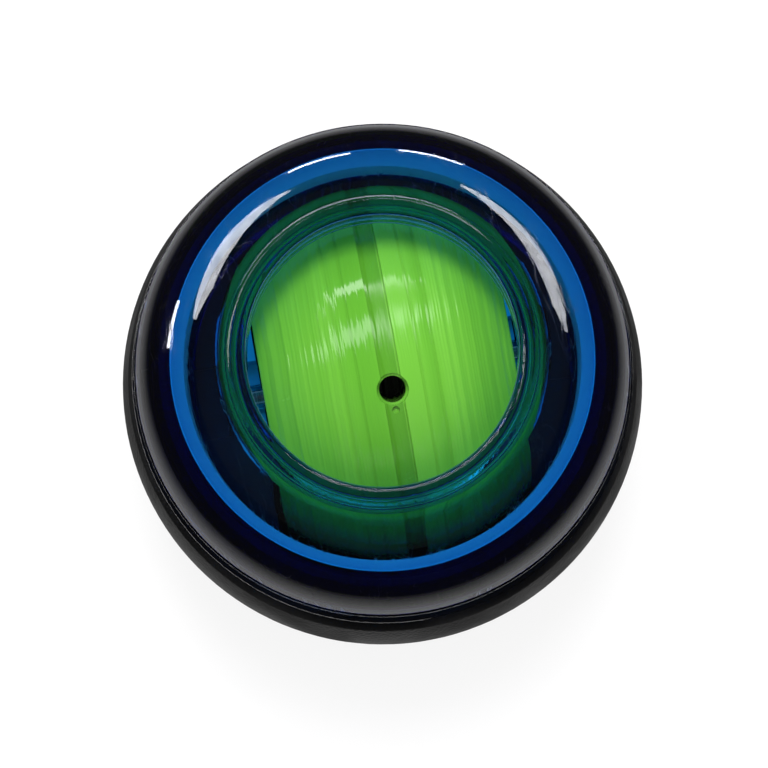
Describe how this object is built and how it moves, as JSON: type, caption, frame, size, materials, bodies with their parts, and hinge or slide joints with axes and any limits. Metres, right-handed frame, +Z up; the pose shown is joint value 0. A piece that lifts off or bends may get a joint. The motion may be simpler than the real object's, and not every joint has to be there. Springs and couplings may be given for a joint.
{
  "type": "gyroscopic wrist ball",
  "caption": "Gyroscopic wrist ball: clear blue shell with a round window, rubber grip cup with a flat foot, and a green rotor on an axle in a ring that runs round an inner race.",
  "frame": {"origin": "centre of the flat foot, on the surface the ball stands on", "axes": "+Z up through the window's centre, +X along the rotor's axle at rest"},
  "size_m": [0.0662, 0.0662, 0.0587],
  "materials": {
    "clear_blue": "clear, polished",
    "black_rubber": "matt",
    "black_plastic": "satin",
    "pale_plastic": "satin",
    "cyan_plastic": "satin",
    "bright_steel": "ground",
    "green_plastic": "satin gloss",
    "weight_steel": "turned"
  },
  "bodies": {
    "casing": {"upper_shell": "clear_blue", "lower_shell": "clear_blue", "grip_sleeve": "black_rubber", "base_cap": "black_plastic", "upper_track": "black_plastic", "lower_track": "black_plastic", "liner_ring": "pale_plastic"},
    "ring": {"guide_ring": "black_plastic", "ring_bearing_left": "black_plastic", "ring_bearing_right": "black_plastic", "pad_plate_left": "cyan_plastic", "pad_plate_right": "cyan_plastic"},
    "rotor": {"axle": "bright_steel", "rotor_half_left": "green_plastic", "rotor_half_right": "green_plastic", "rotor_weight_left": "weight_steel", "rotor_weight_right": "weight_steel", "rotor_cap_left": "green_plastic", "rotor_cap_right": "green_plastic", "cap_screws_left": "bright_steel", "cap_screws_right": "bright_steel", "thrust_washer_left": "bright_steel", "thrust_washer_right": "bright_steel"}
  },
  "joints": [
    {"name": "ring_turn", "type": "hinge", "parent": "casing", "child": "ring", "pos_m": [0, 0, 0.033], "axis": [0, 0, 1], "continuous": true},
    {"name": "rotor_spin", "type": "hinge", "parent": "ring", "child": "rotor", "pos_m": [0, 0, 0.033], "axis": [1, 0, 0], "continuous": true}
  ]
}
